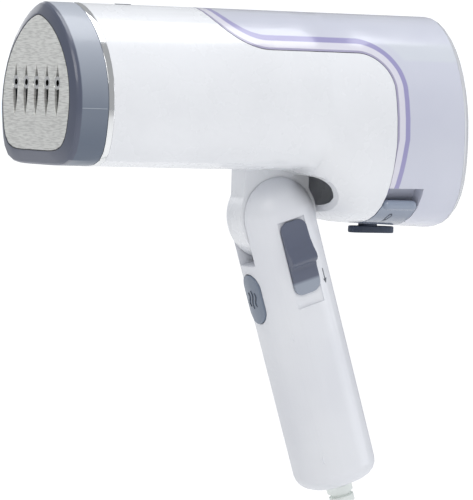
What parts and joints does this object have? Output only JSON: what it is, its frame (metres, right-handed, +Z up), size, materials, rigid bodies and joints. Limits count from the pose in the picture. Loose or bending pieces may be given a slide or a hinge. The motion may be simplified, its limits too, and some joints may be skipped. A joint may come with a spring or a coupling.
{
  "type": "garment steamer",
  "caption": "Hand-held garment steamer: barrel with arched steam head and slide-off water tank, on a folding grip with steam button, fold slider and mains cord.",
  "frame": {"origin": "middle of the hand grip, on the handle's axis, 75 mm below the fold pivot", "axes": "+Z up with the barrel level and the handle open, -X the way the steam head faces, +X the way the tank slides off, -Y the side of the fold slider"},
  "size_m": [0.2166, 0.078, 0.4416],
  "materials": {
    "white_shell": "satin gloss",
    "chrome_trim": "polished",
    "grey_nose": "satin",
    "steel_plate": "fine satin",
    "cast_aluminium": "as cast",
    "element_steel": "satin",
    "cream_plastic": "matte",
    "fuse_sleeve": "woven sleeve",
    "screw_steel": "zinc plated",
    "spring_steel": "drawn wire",
    "pump_body": "matte",
    "silicone_hose": "translucent",
    "circuit_board": "solder mask",
    "indicator": "clear over grey",
    "white_fitting": "satin",
    "black_rubber": "matte",
    "brass_bush": "machined",
    "tank_tint": "lavender translucent",
    "tank_clear": "clear",
    "latch_blue": "translucent gloss",
    "slider_grey": "satin",
    "button_grey": "satin",
    "black_plastic": "matte",
    "wire_cover": "pvc",
    "relief_plastic": "soft matte",
    "cord_cover": "soft matte",
    "tie_fabric": "hook and loop",
    "pin_metal": "nickel plated"
  },
  "bodies": {
    "handle": {"handle_shell_left": "white_shell", "handle_shell_right": "white_shell", "pivot_pin": "screw_steel", "ear_bushes": "brass_bush", "slider_spring": "spring_steel", "button_spring": "spring_steel", "micro_switch": "black_plastic", "handle_board": "circuit_board", "wire_terminal": "cream_plastic", "handle_wires": "wire_cover", "handle_screws": "screw_steel", "cord_clamp": "cream_plastic", "strain_relief": "relief_plastic", "cord_lead": "cord_cover", "cord_coil": "cord_cover", "cord_tail": "cord_cover", "cord_tie": "tie_fabric", "plug_body": "cord_cover", "plug_pins": "pin_metal"},
    "slider": {"fold_slider": "slider_grey", "lock_pawl": "screw_steel"},
    "button": {"steam_button": "button_grey"},
    "barrel": {"body_shell_left": "white_shell", "body_shell_right": "white_shell", "front_ring": "chrome_trim", "nose_cover": "grey_nose", "soleplate": "steel_plate", "steam_nozzles": "chrome_trim", "heater_block": "cast_aluminium", "heating_element": "element_steel", "heater_frame": "cream_plastic", "thermostat": "element_steel", "thermal_fuse": "fuse_sleeve", "heater_screws": "screw_steel", "steam_pump": "pump_body", "inlet_hose": "silicone_hose", "outlet_hose": "silicone_hose", "control_board": "circuit_board", "indicator_lens": "indicator", "tank_spigot": "white_fitting", "spigot_seal": "black_rubber", "body_screws": "screw_steel", "pivot_bush": "brass_bush"},
    "tank": {"tank_shell": "tank_tint", "tank_end_cap": "tank_clear", "tank_valve_seat": "white_fitting", "valve_plunger": "black_rubber", "valve_spring": "spring_steel", "latch_springs": "spring_steel"},
    "latch_left": {"tank_latch_left": "latch_blue"},
    "latch_right": {"tank_latch_right": "latch_blue"},
    "plug": {"filler_plug": "black_rubber"}
  },
  "joints": [
    {"name": "fold", "type": "hinge", "parent": "handle", "child": "barrel", "pos_m": [-0.02318, 0, 0.07133], "axis": [0, -1, 0], "range_deg": [0, 105]},
    {"name": "fold_slider_slide", "type": "slide", "parent": "handle", "child": "slider", "axis": [0.309, 0, -0.9511], "range_m": [0, 0.005], "stiffness_N_per_m": 400, "springref_m": -0.002},
    {"name": "steam_button_press", "type": "slide", "parent": "handle", "child": "button", "axis": [0.9511, 0, 0.309], "range_m": [0, 0.002], "stiffness_N_per_m": 900, "springref_m": -0.001},
    {"name": "tank_slide", "type": "slide", "parent": "barrel", "child": "tank", "axis": [1, 0, 0], "range_m": [0, 0.085]},
    {"name": "latch_left_press", "type": "slide", "parent": "tank", "child": "latch_left", "axis": [0, 1, 0], "range_m": [0, 0.002], "stiffness_N_per_m": 800, "springref_m": -0.0005},
    {"name": "latch_right_press", "type": "slide", "parent": "tank", "child": "latch_right", "axis": [0, -1, 0], "range_m": [0, 0.002], "stiffness_N_per_m": 800, "springref_m": -0.0005},
    {"name": "filler_plug_pull", "type": "slide", "parent": "tank", "child": "plug", "axis": [0, 0, -1], "range_m": [0, 0.022]}
  ]
}
